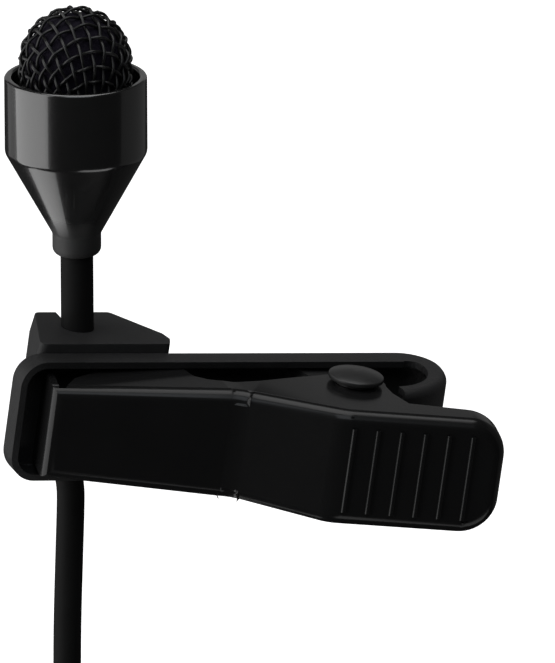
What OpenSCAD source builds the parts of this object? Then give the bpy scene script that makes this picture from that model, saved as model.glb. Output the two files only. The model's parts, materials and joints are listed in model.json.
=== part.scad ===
// Lavalier microphone: a wire-domed head on a rubber stem, held by a spring clip,
// with a 1.2 m lead wound into a tied coil and a four-contact latching plug.
// Millimetres. +Z is up along the microphone's axis, +X runs along the clip from the
// jaw tip to the finger pad, +Y points to the back of the clip. The origin is the
// middle of the bite, where the teeth meet the rear jaw.

/* [Housing cup] */
// Outer diameter of the cup
cup_d = 10.6; // [10.2:0.1:11.4]
// Wall of the cup at its rim
cup_wall = 0.55; // [0.4:0.05:0.7]
// Height of the cup's straight side
cup_h = 5.8; // [5.4:0.1:7]
// Height of the cone under the straight side
cone_h = 6.3; // [5.8:0.1:8]
// Outer diameter of the neck under the cone
neck_d = 3.64; // [3.4:0.02:4.2]
// Height of the neck
neck_h = 1.7; // [1.4:0.1:3]
// Radius turned under the neck
neck_round = 0.7; // [0.3:0.05:0.9]

/* [Woven dome] */
// Outer diameter of the wire dome
dome_d = 8.62; // [8.2:0.02:8.8]
// Height of the dome's centre above the cup's rim
dome_rise = 1.0; // [0.6:0.1:1.6]
// Diameter of the dome's wires
wire_d = 0.24; // [0.18:0.01:0.26]
// Gap between crossing wires
wire_gap = 0.04; // [0.03:0.01:0.08]
// Wires on each side of the middle one, in each direction
wire_side = 5; // [4:1:6]
// Depth of the wires' feet below the cup's rim
skirt_h = 2.6; // [2:0.1:3]
// Height of the ring that the feet stand on
ring_h = 0.8; // [0.5:0.1:1.2]

/* [Capsule] */
// Diameter of the electret capsule
capsule_d = 6.0; // [5.6:0.1:6.4]
// Height of the capsule
capsule_h = 2.7; // [2.6:0.1:3.4]
// Sheet of the capsule's can
can_t = 0.2; // [0.12:0.02:0.24]
// Wall of the rubber sleeve round the capsule
sleeve_t = 0.7; // [0.4:0.05:0.9]
// Thickness of the capsule's circuit board
board_t = 0.5; // [0.3:0.05:0.6]
// Height of the diaphragm's ring
film_ring_h = 0.3; // [0.2:0.05:0.4]
// Thickness of the charged back plate
plate_t = 0.35; // [0.25:0.05:0.45]

/* [Stem and holder] */
// Diameter of the rubber stem
stem_d = 2.45; // [2.3:0.05:2.8]
// Free height of the stem between the holder and the cup
stem_h = 5.7; // [4:0.1:7]
// Width of the holder at the clip
holder_w = 10.6; // [10:0.1:12]
// Width of the holder at its back
holder_back_w = 6.1; // [5:0.1:7]
// Depth of the holder
holder_deep = 6.7; // [6.2:0.1:8]
// Height of the holder
holder_h = 6.0; // [5:0.1:7]
// Depth of the stem's axis in the holder
stem_in = 3.6; // [3.2:0.1:4.4]
// Width of the slot that the cable is pressed in through
snap_w = 1.2; // [1:0.05:1.6]

/* [Rear jaw] */
// Height of the rear jaw
tray_h = 9.4; // [9.3:0.1:10]
// Depth of the rear jaw's turned edge
tray_deep = 2.4; // [2.3:0.1:2.6]
// Sheet thickness of both jaws
sheet = 0.5; // [0.4:0.05:0.6]
// Corner radius at the jaw's tip
tray_corner = 2.0; // [1.6:0.1:2.4]
// Radius of the bend between the sheet and its turned edge
tray_bend = 0.65; // [0.6:0.05:1]
// Length of the rear jaw's flat part
tray_l = 30.4; // [30:0.1:31.5]
// Outer radius of the rear handle's first turn
handle_r = 2.9; // [2.8:0.05:3.2]
// Outer radius of the curl that ends the rear handle
curl_r = 5.9; // [5.7:0.1:6.3]

/* [Front jaw] */
// Distance of the front jaw's tip from the rear jaw's tip
tip_in = 1.55; // [1.4:0.05:1.9]
// Depth of the front jaw at its tip
tip_deep = 4.45; // [4.2:0.05:4.8]
// Slope of the biting stretch
jaw_slope = 11; // [9:0.5:12]
// Length of the biting stretch along the clip
jaw_l = 13.9; // [13.4:0.1:14.4]
// Slope of the stretch that leads out to the finger pad
lead_slope = 37; // [35:0.5:40]
// Length of the stretch that leads out to the finger pad
lead_l = 7.9; // [7.5:0.1:8.3]
// Slope of the finger pad
pad_slope = 11.5; // [10:0.5:13]
// Height of the front jaw at its tip
tip_h = 7.2; // [6.8:0.1:7.4]
// Height of the front jaw at the first bend
mid_h = 8.5; // [8.2:0.1:8.5]
// Height of the front jaw at the hinge and finger pad
pad_h = 9; // [8.8:0.1:9.2]
// Depth of the finger pad's turned edge at its end
pad_edge = 2.3; // [2:0.1:2.8]
// Bend radius of the front jaw's edges
jaw_round = 0.95; // [0.7:0.05:1.1]
// Bend radius between the bite and the lead-out
bend_r = 3; // [2:0.5:4]
// Bend radius between the lead-out and the finger pad
elbow_r = 3.5; // [2.5:0.5:4]
// Corner radius of the finger pad
pad_corner = 2.8; // [2.2:0.1:3.2]
// Teeth on each edge of the bite
teeth = 3; // [2:1:3]
// Distance from tooth to tooth
tooth_pitch = 3.3; // [3:0.05:3.5]
// Depth of the hollows between the teeth
tooth_deep = 0.6; // [0.4:0.05:0.8]
// Ribs on the finger pad
pad_ribs = 6; // [4:1:7]
// Distance from rib to rib
rib_pitch = 1.8; // [1.4:0.05:1.9]
// Distance from the pad's bend to its first rib
rib_lead = 0.95; // [0.9:0.05:1.2]
// Distance from the last rib to the pad's end
rib_end = 2.65; // [2.4:0.05:3]

/* [Hinge] */
// Distance of the hinge from the rear jaw's tip
hinge_x = 25; // [24.8:0.05:25.2]
// Distance of the hinge in front of the rear jaw's rim
hinge_out = 3.8; // [3.7:0.05:4.1]
// Diameter of the hinge pin
pin_d = 1.8; // [1.4:0.1:2]
// Diameter of the pin's heads
head_d = 4.15; // [3.8:0.05:4.4]
// Height of a head's edge
head_edge = 0.3; // [0.2:0.05:0.4]
// Height of a head's dome
head_dome = 0.35; // [0.2:0.05:0.5]
// Thickness of the washers under the heads
washer_t = 0.3; // [0.2:0.05:0.4]
// Radius of the front jaw's ears
ear_r = 2.3; // [2.1:0.05:2.4]
// Radius of the rear jaw's lugs
lug_r = 1.9; // [1.7:0.05:2]
// Thickness of the lugs
lug_t = 0.6; // [0.5:0.05:0.7]
// Wire of the jaw spring
spring_wire = 0.6; // [0.5:0.05:0.65]
// Turns of the jaw spring
spring_turns = 5; // [4:1:6]

/* [Lead] */
// Diameter of the cable
cable_d = 2.1; // [2:0.05:2.2]
// Turns in each layer of the coil
layer_turns = 4; // [3:1:4]
// Layers in the coil
layers = 4; // [2:2:4]
// Diameter across the middle of the coil's turns
coil_mid_d = 22.8; // [22.6:0.1:24]
// Distance from turn to turn and from layer to layer
turn_pitch = 2.55; // [2.52:0.01:2.6]
// Width of the strap round the coil
tie_w = 5; // [4:0.5:7]
// Thickness of the strap
tie_t = 0.8; // [0.6:0.1:1.2]

/* [Plug] */
// Diameter of the plug's barrel
barrel_d = 8.1; // [7.9:0.1:8.5]
// Wall of the barrel
barrel_t = 0.45; // [0.35:0.05:0.5]
// Length of the barrel in front of the collar
barrel_l = 9.6; // [9:0.1:11]
// Length of the barrel inside the collar
barrel_in = 3; // [2.5:0.1:4]
// Diameter of the collar
collar_d = 11; // [10.6:0.1:11.6]
// Length of the collar
collar_l = 8.4; // [8:0.1:10]
// Diameter of the backshell at the collar
shell_d = 11.4; // [11:0.1:11.8]
// Diameter of the backshell at its rear end
shell_rear_d = 9.6; // [9:0.1:10]
// Length of the backshell
shell_l = 21; // [18:0.5:24]
// Grips round the backshell
shell_grips = 8; // [6:1:10]
// Diameter of the plug's flexible relief at the backshell
relief_d = 7.6; // [7:0.1:8]
// Diameter of the relief at the cable
relief_end_d = 5.2; // [4.6:0.1:5.6]
// Length of the relief
relief_l = 13.6; // [12:0.1:16]
// Diameter of a contact
contact_d = 1.3; // [1.1:0.05:1.35]
// Distance of the outer contacts from the plug's axis
contact_ring = 1.95; // [1.8:0.05:2]
// Diameter of the latch button
button_d = 3.3; // [3:0.1:3.6]
// Travel of the latch button
button_travel = 0.6; // [0.4:0.05:0.7]

/* [Hidden] */
$fn = 64;

// ---- shared clearances -------------------------------------------------------
eps = 0.01;        // overlap of cutting tools past a face
slip = 0.05;       // loose fit between nested fixed pieces
run_gap = 0.04;    // radial clearance of a turning joint
side_gap = 0.08;   // clearance between faces that turn past each other
bite_gap = 0.03;   // clearance between the closed teeth and the rear jaw

// ---- frames ------------------------------------------------------------------
clip_roll = 6.6;   // the clip hangs this far off square to the microphone's axis
clip_pitch = 4.5;  // and leans forward by this
first_tooth = 5.45; // distance of the first tooth from the rear jaw's tip
grip_x = first_tooth + (teeth - 1) / 2 * tooth_pitch;
floor_y = tray_deep - sheet;
holder_x = 6.3;    // the stem's axis, measured along the clip
holder_up = 0.54;  // the holder's top stands this far above the rear jaw
holder_top = tray_h / 2 + holder_up;
stem_y = tray_deep + stem_in;

// A point of the clip's own frame, in the part's frame.
function clip_way(p) = let (z = p.y * sin(clip_pitch) + p.z * cos(clip_pitch)) [
    p.x * cos(clip_roll) + z * sin(clip_roll),
    p.y * cos(clip_pitch) - p.z * sin(clip_pitch),
    z * cos(clip_roll) - p.x * sin(clip_roll)
];
function clip_point(p) = clip_way(p - [grip_x, floor_y, 0]);
module in_clip() {
    rotate([clip_pitch, clip_roll, 0]) translate([-grip_x, -floor_y, 0]) children();
}

stem_foot = clip_point([holder_x, stem_y, holder_top]);
mic_x = stem_foot.x;
mic_y = stem_foot.y;
cup_bottom = stem_foot.z + stem_h;
rim_z = cup_bottom + neck_h + cone_h + cup_h;
module on_mic(z = 0) {
    translate([mic_x, mic_y, rim_z + z]) children();
}

// ---- small helpers -----------------------------------------------------------
function unit(v) = v / norm(v);
function path_way(pts, i) =
    unit(pts[min(i + 1, len(pts) - 1)] - pts[max(i - 1, 0)]);

// A round tube along points. ref is any direction that the path never follows.
module tube(pts, d, sides, ref) {
    n = len(pts);
    rings = [for (i = [0:n - 1])
        let (
            t = path_way(pts, i),
            a = unit(ref - (ref * t) * t),
            b = cross(t, a)
        )
        for (k = [0:sides - 1])
            pts[i] + d / 2 * (cos(360 * k / sides) * a + sin(360 * k / sides) * b)];
    walls = [for (i = [0:n - 2], k = [0:sides - 1])
        let (
            p = i * sides + k,
            q = i * sides + (k + 1) % sides
        )
        each [[p, p + sides, q], [q, p + sides, q + sides]]];
    ends = [for (k = [1:sides - 2])
        each [[0, k, k + 1], [(n - 1) * sides, (n - 1) * sides + k + 1, (n - 1) * sides + k]]];
    polyhedron(points = rings, faces = concat(walls, ends), convexity = 10);
}

module ring_of(outer_d, inner_d, h) {
    difference() {
        cylinder(d = outer_d, h = h);
        translate([0, 0, -eps]) cylinder(d = inner_d, h = h + 2 * eps);
    }
}

// ---- microphone head ---------------------------------------------------------
bore_d = cup_d - 2 * cup_wall;
shelf_z = -skirt_h - ring_h;
sleeve_d = capsule_d + 2 * sleeve_t;
capsule_bottom = shelf_z - capsule_h;
weave = (wire_d + wire_gap) / 2;              // height of a wire's wave
weave_r = dome_d / 2 - wire_d / 2 - weave;    // middle radius of the woven dome
weave_step = 90 / (wire_side + 1.5);          // the feet of both sets interleave
foam_r = weave_r - weave - wire_d / 2 - slip;
stem_top = -cup_h - cone_h + 2.2;             // the stem ends inside the cone
cavity_d = 4.6;                               // space behind the capsule
rim_chamfer = 0.1;

// One wire of the dome, in the plane at angle number i, from foot to foot.
function wire_path(i) =
    let (
        c = weave_r * sin(i * weave_step),
        reach = 90 - abs(i) * weave_step,
        steps = round(6 * (wire_side + 1.5 - abs(i))),
        flip = i % 2 == 0 ? 1 : -1,
        foot = -dome_rise - skirt_h,
        side = weave_r * cos(i * weave_step)
    )
    concat(
        [[c, -side, foot], [c, -side, foot / 2]],
        [for (k = [0:steps])
            let (
                turn = -90 + 180 * k / steps,
                crossing = asin(sin(turn) * sin(reach)) / weave_step,
                lift = 1 + flip * weave * cos(180 * crossing) / weave_r
            )
            [c * lift, side * sin(turn) * lift, side * cos(turn) * lift]],
        [[c, side, foot / 2], [c, side, foot]]
    );

module mesh_dome() {
    color([0.16, 0.16, 0.18]) on_mic(dome_rise)
        for (i = [-wire_side:wire_side]) {
            tube(wire_path(i), wire_d, 5, [1, 0, 0]);
            rotate([0, 0, 90]) tube(wire_path(i), wire_d, 5, [1, 0, 0]);
        }
}

module foam_liner() {
    color([0.1, 0.09, 0.13]) on_mic() difference() {
        union() {
            translate([0, 0, dome_rise]) sphere(r = foam_r);
            translate([0, 0, shelf_z]) cylinder(r = foam_r, h = dome_rise - shelf_z);
        }
        translate([0, 0, shelf_z - eps]) cylinder(d = capsule_d - 0.6, h = cloth_t + eps);
        translate([0, 0, shelf_z - foam_r - eps]) cube([3 * foam_r, 3 * foam_r, 2 * foam_r], center = true);
    }
}

module grille_ring() {
    color([0.2, 0.2, 0.21]) on_mic(shelf_z) ring_of(bore_d, 2 * (foam_r + slip), ring_h);
}

module housing_cup() {
    neck_r = neck_d / 2;
    neck_z = -cup_h - cone_h - neck_h;
    stem_r = stem_d / 2;
    color([0.06, 0.06, 0.07]) on_mic() rotate_extrude() {
        polygon([
            [bore_d / 2, 0],
            [cup_d / 2 - rim_chamfer, 0],
            [cup_d / 2, -rim_chamfer],
            [cup_d / 2, -cup_h],
            [neck_r, -cup_h - cone_h],
            [neck_r, neck_z + neck_round],
            [neck_r - 0.3 * neck_round, neck_z + 0.3 * neck_round],
            [max(neck_r - neck_round, stem_r), neck_z],
            [stem_r, neck_z],
            [stem_r, stem_top + 0.4],
            [cavity_d / 2, capsule_bottom],
            [sleeve_d / 2, capsule_bottom],
            [sleeve_d / 2, shelf_z],
            [bore_d / 2, shelf_z]
        ]);
    }
}

// ---- electret capsule, from the dome's side down -----------------------------
cloth_t = 0.15;
film_t = 0.05;
spacer_t = 0.1;
can_r = capsule_d / 2;
stack_r = can_r - can_t;                          // everything inside the can
film_ring_z = shelf_z - can_t - film_ring_h;
film_z = film_ring_z - film_t;
spacer_z = film_z - spacer_t;
plate_z = spacer_z - plate_t;
board_z = capsule_bottom + can_t;
chamber_h = plate_z - board_z - board_t;
plate_r = stack_r - 0.35;
gate_r = plate_r - 0.35;
sound_hole_d = 1.8;

module capsule_sleeve() {
    color([0.12, 0.12, 0.12]) on_mic(capsule_bottom) ring_of(sleeve_d, capsule_d, capsule_h);
}

module capsule_can() {
    color([0.75, 0.76, 0.78]) on_mic(capsule_bottom) difference() {
        cylinder(r = can_r, h = capsule_h);
        translate([0, 0, can_t]) cylinder(r = stack_r, h = capsule_h - 2 * can_t);
        translate([0, 0, -eps]) cylinder(r = stack_r - 0.35, h = can_t + 2 * eps);
        translate([0, 0, capsule_h - can_t - eps]) cylinder(d = sound_hole_d, h = can_t + 2 * eps);
    }
}

module dust_cloth() {
    color([0.05, 0.05, 0.05]) on_mic(shelf_z) cylinder(d = capsule_d - 0.8, h = cloth_t);
}

module diaphragm_ring() {
    color([0.8, 0.65, 0.3]) on_mic(film_ring_z) ring_of(2 * stack_r, 2 * stack_r - 1, film_ring_h);
}

module diaphragm() {
    color([0.85, 0.75, 0.45]) on_mic(film_z) cylinder(r = stack_r, h = film_t);
}

module spacer_ring() {
    color([0.85, 0.85, 0.8]) on_mic(spacer_z) ring_of(2 * stack_r, 2 * stack_r - 0.9, spacer_t);
}

module back_plate() {
    plate_hole_d = 0.5;
    color([0.78, 0.62, 0.28]) on_mic(plate_z) difference() {
        cylinder(r = plate_r, h = plate_t);
        for (a = [45:90:315]) rotate([0, 0, a]) translate([plate_r / 2, 0, -eps])
            cylinder(d = plate_hole_d, h = plate_t + 2 * eps, $fn = 24);
    }
}

module plate_holder() {
    color([0.9, 0.9, 0.86]) on_mic(board_z + board_t) difference() {
        cylinder(r = stack_r, h = chamber_h + plate_t);
        translate([0, 0, -eps]) cylinder(r = gate_r, h = chamber_h + 2 * eps);
        translate([0, 0, chamber_h]) cylinder(r = plate_r, h = plate_t + eps);
    }
}

module gate_ring() {
    color([0.8, 0.65, 0.3]) on_mic(board_z + board_t) ring_of(2 * gate_r, 2 * gate_r - 0.4, chamber_h);
}

module capsule_board() {
    color([0.1, 0.3, 0.14]) on_mic(board_z) cylinder(r = stack_r, h = board_t);
}

chip_size = [1.3, 0.9, 0.45];
module fet_chip() {
    color([0.08, 0.08, 0.08]) on_mic(board_z + board_t)
        translate([-chip_size.x / 2, -chip_size.y / 2, 0]) cube(chip_size);
}

lead_d = 0.6;
lead_gap = 1.1;
module lead_wires() {
    pad_t = 0.25;
    color([0.7, 0.15, 0.12]) on_mic() for (side = [-1, 1])
        translate([side * lead_gap / 2, 0, stem_top]) {
            cylinder(d = lead_d, h = board_z - stem_top - pad_t, $fn = 24);
            translate([0, 0, board_z - stem_top - pad_t])
                cylinder(d1 = lead_d, d2 = lead_d + 0.3, h = pad_t, $fn = 24);
        }
}

// ---- stem and cable holder ---------------------------------------------------
stem_below = 0.6;   // the straight stretch ends this far under the holder
stem_seat = 0.8;    // the stem's end is seated this deep in the holder
stem_bottom = stem_foot.z - stem_seat;

module stem() {
    color([0.09, 0.09, 0.1]) translate([mic_x, mic_y, stem_bottom])
        cylinder(d = stem_d, h = rim_z + stem_top - stem_bottom);
}

// The lead's first stretch, straight through the holder.
module holder_lead() {
    color([0.08, 0.08, 0.09]) difference() {
        in_clip() translate([holder_x, stem_y, holder_top - holder_h - stem_below])
            cylinder(d = cable_d, h = holder_h + stem_below);
        translate([mic_x - 5, mic_y - 5, stem_bottom]) cube(10);
    }
}

// The holder's outline from above; reach moves its left side at the clip.
module holder_outline(reach) {
    offset(r = 0.5, $fn = 32) offset(delta = -0.5) polygon([
        [holder_x + 0.8 - holder_w / 2 + reach, tray_deep],
        [holder_x + 0.8 + holder_w / 2, tray_deep],
        [holder_x + 1.2 + holder_w / 2, tray_deep + 1.1],
        [holder_x + 1.0 + holder_w / 2, tray_deep + 2.2],
        [holder_x + 0.6 + holder_back_w / 2, tray_deep + holder_deep],
        [holder_x + 0.5 - holder_back_w / 2 + reach, tray_deep + holder_deep]
    ]);
}

module cable_holder() {
    edge_drop = 1.4;    // height of the sloped left shoulder
    shoulder = 0.25;    // width of the sloped left shoulder
    skin = 0.02;
    color([0.13, 0.13, 0.13]) difference() {
        in_clip() difference() {
            hull() {
                translate([0, 0, holder_top - holder_h])
                    linear_extrude(holder_h - edge_drop) holder_outline(0);
                translate([0, 0, holder_top - skin])
                    linear_extrude(skin) holder_outline(shoulder);
            }
            translate([holder_x, stem_y, holder_top - holder_h - eps])
                cylinder(d = cable_d, h = holder_h + 2 * eps);
            translate([holder_x - snap_w / 2, stem_y, holder_top - holder_h - eps])
                cube([snap_w, holder_deep, holder_h + 2 * eps]);
            translate([holder_x, tray_deep, rivet_z]) rotate([-90, 0, 0])
                translate([0, 0, -eps]) cylinder(d = rivet_d, h = rivet_in + eps);
        }
        translate([mic_x, mic_y, stem_bottom]) cylinder(d = stem_d, h = 4);
    }
}

rivet_d = 1.6;
rivet_head_d = 3;
rivet_head_h = 0.45;
rivet_in = stem_in - stem_d / 2 - 0.6;
rivet_z = holder_top - holder_h / 2 - 0.8;
module holder_rivet() {
    color([0.3, 0.3, 0.31]) in_clip() translate([holder_x, 0, rivet_z]) rotate([-90, 0, 0]) {
        translate([0, 0, floor_y]) cylinder(d = rivet_d, h = sheet + rivet_in);
        translate([0, 0, floor_y - rivet_head_h])
            cylinder(d1 = rivet_head_d - 0.8, d2 = rivet_head_d, h = rivet_head_h);
    }
}

// ---- rear jaw ----------------------------------------------------------------
half_tray = tray_h / 2;
straight_z = half_tray - tray_corner;
handle_hub = [tray_l, tray_deep - handle_r];    // the handle's first turn
curl_turn = 83;
curl_hub = handle_hub - [curl_r - handle_r, 0];
hollow_hub = handle_hub + [0.2, -0.37];
narrow_hub = curl_hub + [0.13, -0.55];
narrow_r = curl_r - tray_deep + 0.6;
hinge_y = -hinge_out;
ear_z = pad_h / 2;                    // outer face of the front jaw's ears
lug_z = ear_z - sheet - side_gap;     // outer face of the rear jaw's lugs

// Section of the sheet and its turned edge: x runs out to the edge, y from the rim back.
module edge_section() {
    difference() {
        union() {
            square([tray_corner - tray_bend, tray_deep]);
            square([tray_corner, tray_deep - tray_bend]);
            translate([tray_corner - tray_bend, tray_deep - tray_bend]) circle(r = tray_bend, $fn = 32);
        }
        translate([-eps, -eps])
            square([tray_corner - tray_bend + eps, tray_deep - sheet + eps]);
        translate([-eps, -eps])
            square([tray_corner - sheet + eps, tray_deep - tray_bend + eps]);
        translate([tray_corner - tray_bend, tray_deep - tray_bend])
            circle(r = tray_bend - sheet, $fn = 32);
    }
}

// Section of the whole channel, for the turns: x is the radius, y the height.
module handle_section(r) {
    for (flip = [0, 1]) mirror([0, flip])
        translate([r - tray_deep, straight_z]) mirror([1, -1, 0]) edge_section();
    translate([r - sheet, -straight_z]) square([sheet, 2 * straight_z]);
}

module lug() {
    root_w = 5;
    difference() {
        union() {
            translate([hinge_x, hinge_y, 0]) cylinder(r = lug_r, h = lug_t);
            linear_extrude(lug_t) polygon([
                [hinge_x - lug_r, hinge_y],
                [hinge_x + lug_r, hinge_y],
                [hinge_x + lug_r, floor_y + eps],
                [hinge_x + lug_r - root_w, floor_y + eps]
            ]);
        }
        translate([hinge_x, hinge_y, -eps]) cylinder(d = pin_d, h = lug_t + 2 * eps);
    }
}

// The two turns of the handle; its turned edges narrow towards the end.
module handle() {
    difference() {
        union() {
            translate(handle_hub) rotate_extrude(angle = 90) handle_section(handle_r);
            translate(curl_hub) rotate([180, 0, 0])
                rotate_extrude(angle = curl_turn) handle_section(curl_r);
        }
        translate([0, 0, -tray_h]) linear_extrude(2 * tray_h) {
            translate(hollow_hub) circle(r = 1);
            difference() {
                translate(narrow_hub) circle(r = narrow_r);
                translate([0, hollow_hub.y]) square([60, 20]);
            }
        }
    }
}

module rear_jaw() {
    color([0.17, 0.17, 0.17]) in_clip() difference() {
        union() {
            for (flip = [0, 1]) mirror([0, 0, flip]) {
                translate([tray_l, 0, straight_z]) rotate([0, -90, 0])
                    linear_extrude(tray_l - tray_corner) edge_section();
                translate([tray_corner, 0, straight_z]) rotate([-90, 0, 0])
                    rotate([0, 0, 180]) rotate_extrude(angle = 90) edge_section();
                translate([0, 0, lug_z - lug_t]) lug();
            }
            translate([tray_corner, 0, -straight_z]) mirror([1, 0, 0])
                linear_extrude(2 * straight_z) edge_section();
            translate([tray_corner, floor_y, -straight_z])
                cube([tray_l - tray_corner, sheet, 2 * straight_z]);
            handle();
        }
        translate([holder_x, floor_y - eps, rivet_z]) rotate([-90, 0, 0])
            cylinder(d = rivet_d, h = sheet + 2 * eps);
    }
}

// ---- front jaw ---------------------------------------------------------------
tip = [tip_in, floor_y - tip_deep];
function way(slope) = [cos(slope), -sin(slope)];
function behind(slope) = [sin(slope), cos(slope)];

// The outer face, from the tip to the pad's end: three flats and two round bends.
pad_l = rib_lead + (pad_ribs - 1) * rib_pitch + rib_end;
bend_turn = lead_slope - jaw_slope;
elbow_turn = lead_slope - pad_slope;
bend_cut = bend_r * tan(bend_turn / 2);
elbow_cut = elbow_r * tan(elbow_turn / 2);
bite_l = jaw_l / cos(jaw_slope) - bend_cut;
slant_l = lead_l - bend_cut - elbow_cut;
flat_l = pad_l - elbow_cut;
bend_start = tip + bite_l * way(jaw_slope);
bend_hub = bend_start - bend_r * behind(jaw_slope);
bend_end = bend_hub + bend_r * behind(lead_slope);
elbow_start = bend_end + slant_l * way(lead_slope);
elbow_hub = elbow_start + elbow_r * behind(lead_slope);
elbow_end = elbow_hub - elbow_r * behind(pad_slope);
pad_end = elbow_end + flat_l * way(pad_slope);
corner_hub = pad_end - pad_corner * way(pad_slope);
deep = 12;          // deeper than any turned edge
bend_step = 15;     // degrees of each facet along the bent edges

// The bend at an end of the outer face, t inside it. side is 1 at the tip, -1 at the pad.
function round_end(p, slope, side, t) =
    let (hub = p + jaw_round * (side * way(slope) + behind(slope)))
    [for (k = [0:bend_step:90])
        let (turn = side == 1 ? k : 90 - k)
            hub - (jaw_round - t) * (cos(turn) * side * way(slope) + sin(turn) * behind(slope))];

// Everything behind the outer face, t inside it, seen from above.
module jaw_plan(t) {
    difference() {
        union() {
            polygon(concat(
                round_end(tip, jaw_slope, 1, t),
                [
                    bend_start + t * behind(jaw_slope),
                    bend_end + t * behind(lead_slope),
                    elbow_start + t * behind(lead_slope),
                    elbow_end + t * behind(pad_slope)
                ],
                round_end(pad_end, pad_slope, -1, t),
                [
                    pad_end - t * way(pad_slope) + deep * behind(pad_slope),
                    tip + t * way(jaw_slope) + deep * behind(jaw_slope)
                ]
            ));
            translate(elbow_hub) circle(r = elbow_r - t, $fn = 96);
        }
        intersection() {
            translate(bend_hub) circle(r = bend_r + t, $fn = 96);
            polygon([
                bend_hub,
                bend_hub + 3 * bend_r * behind(jaw_slope),
                bend_hub + 3 * bend_r * behind(lead_slope)
            ]);
        }
    }
}

// The jaw's height, t inside it, seen from the front.
module jaw_front(t) {
    for (flip = [0, 1]) mirror([0, flip]) polygon([
        [tip.x - 1, -eps],
        [tip.x - 1, tip_h / 2 - t - (mid_h - tip_h) / 2 / (bend_start.x - tip.x)],
        [bend_start.x, mid_h / 2 - t],
        [bend_end.x, mid_h / 2 - t],
        [elbow_start.x, pad_h / 2 - t],
        [pad_end.x + 4, pad_h / 2 - t],
        [pad_end.x + 4, -eps]
    ]);
}

module jaw_block(t) {
    difference() {
        intersection() {
            translate([0, 0, -pad_h]) linear_extrude(2 * pad_h) jaw_plan(t);
            translate([0, 10, 0]) rotate([90, 0, 0]) linear_extrude(40) jaw_front(t);
        }
        for (flip = [0, 1]) mirror([0, 0, flip])
            translate([corner_hub.x, corner_hub.y, pad_h / 2 - pad_corner])
                rotate([90, 0, -pad_slope]) translate([0, 0, -deep]) linear_extrude(2 * deep)
                    difference() {
                        square(pad_corner + 1);
                        circle(r = pad_corner - t, $fn = 96);
                    }
    }
}

// What a bend takes off a corner: the body lies at +x and -y.
module bend_waste() {
    polygon(concat(
        [[-1, 1], [-1, -jaw_round]],
        [for (turn = [0:bend_step:90]) jaw_round * [1 - cos(turn), sin(turn) - 1]],
        [[jaw_round, 1]]
    ));
}

module flat_waste(p, z, slope, tilt, long) {
    translate([p.x, p.y, z]) rotate([0, -tilt, -slope]) rotate([90, 0, 90])
        linear_extrude(long) bend_waste();
}

// The bends between the outer face and its turned edges, round the corners and along them.
module corner_waste() {
    translate([bend_hub.x, bend_hub.y, mid_h / 2]) rotate([0, 0, 90 - lead_slope])
        rotate_extrude(angle = bend_turn) translate([bend_r, 0]) bend_waste();
    translate([elbow_hub.x, elbow_hub.y, pad_h / 2]) rotate([0, 0, -90 - lead_slope])
        rotate_extrude(angle = elbow_turn) translate([elbow_r, 0]) mirror([1, 0]) bend_waste();
    translate([corner_hub.x, corner_hub.y, pad_h / 2 - pad_corner])
        rotate([90, 0, -pad_slope]) rotate_extrude(angle = 90)
            translate([pad_corner, 0]) mirror([1, 0]) bend_waste();
}

module long_waste() {
    bite_tilt = atan((mid_h - tip_h) / 2 / bite_l);
    slant_tilt = atan((pad_h - mid_h) / 2 / slant_l);
    over = 1;
    flat_waste(tip - over * way(jaw_slope), tip_h / 2 - over * tan(bite_tilt),
        jaw_slope, bite_tilt, bite_l + over + eps);
    flat_waste(bend_end, mid_h / 2, lead_slope, slant_tilt, slant_l / cos(slant_tilt) + eps);
    flat_waste(elbow_end, pad_h / 2, pad_slope, 0, flat_l - pad_corner + eps);
}

// What is left of both turned edges, seen from above.
module edge_outline() {
    bite_y = floor_y - bite_gap;
    waist_y = floor_y - tip_deep - 0.4;
    bite_end = first_tooth + (teeth - 1) * tooth_pitch + 0.35;
    hollow_r = tooth_pitch / 2 + 0.3;
    difference() {
        union() {
            polygon([
                [0, -30],
                [pad_end.x + 6, -30],
                pad_end + pad_edge * behind(pad_slope) + 4 * way(pad_slope),
                pad_end + pad_edge * behind(pad_slope),
                elbow_end + (pad_edge + 0.75) * behind(pad_slope) + 4.6 * way(pad_slope),
                [hinge_x + ear_r - 0.15, hinge_y - 2.2],
                [hinge_x + ear_r * cos(20), hinge_y - ear_r * sin(20)],
                [hinge_x, hinge_y],
                [hinge_x - 1, hinge_y + 0.8 * ear_r],
                [hinge_x - 3.2, waist_y + 0.5],
                [bite_end + 5.5, waist_y + 0.05],
                [bite_end + 3.2, waist_y],
                [bite_end + 1.5, waist_y + 0.65],
                [bite_end + 0.6, waist_y + 1.5],
                [bite_end, bite_y],
                [0, bite_y]
            ]);
            translate([hinge_x, hinge_y]) circle(r = ear_r);
        }
        for (k = [1:teeth - 1])
            translate([first_tooth + (k - 0.5) * tooth_pitch, bite_y + hollow_r - tooth_deep])
                circle(r = hollow_r);
    }
}

// V-shaped relief where a long edge and the tip's edge are turned back side by side.
module corner_relief() {
    for (flip = [0, 1]) mirror([0, 0, flip])
        translate([tip.x, tip.y, tip_h / 2 - 2]) rotate([0, 0, -jaw_slope]) linear_extrude(4)
            polygon([
                [sheet, 0.5],
                [sheet + 0.5, 0.5],
                [sheet + 1.4, 2.3],
                [sheet + 3.6, 4],
                [sheet + 3.6, 6.5],
                [sheet, 6.5]
            ]);
}

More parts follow.
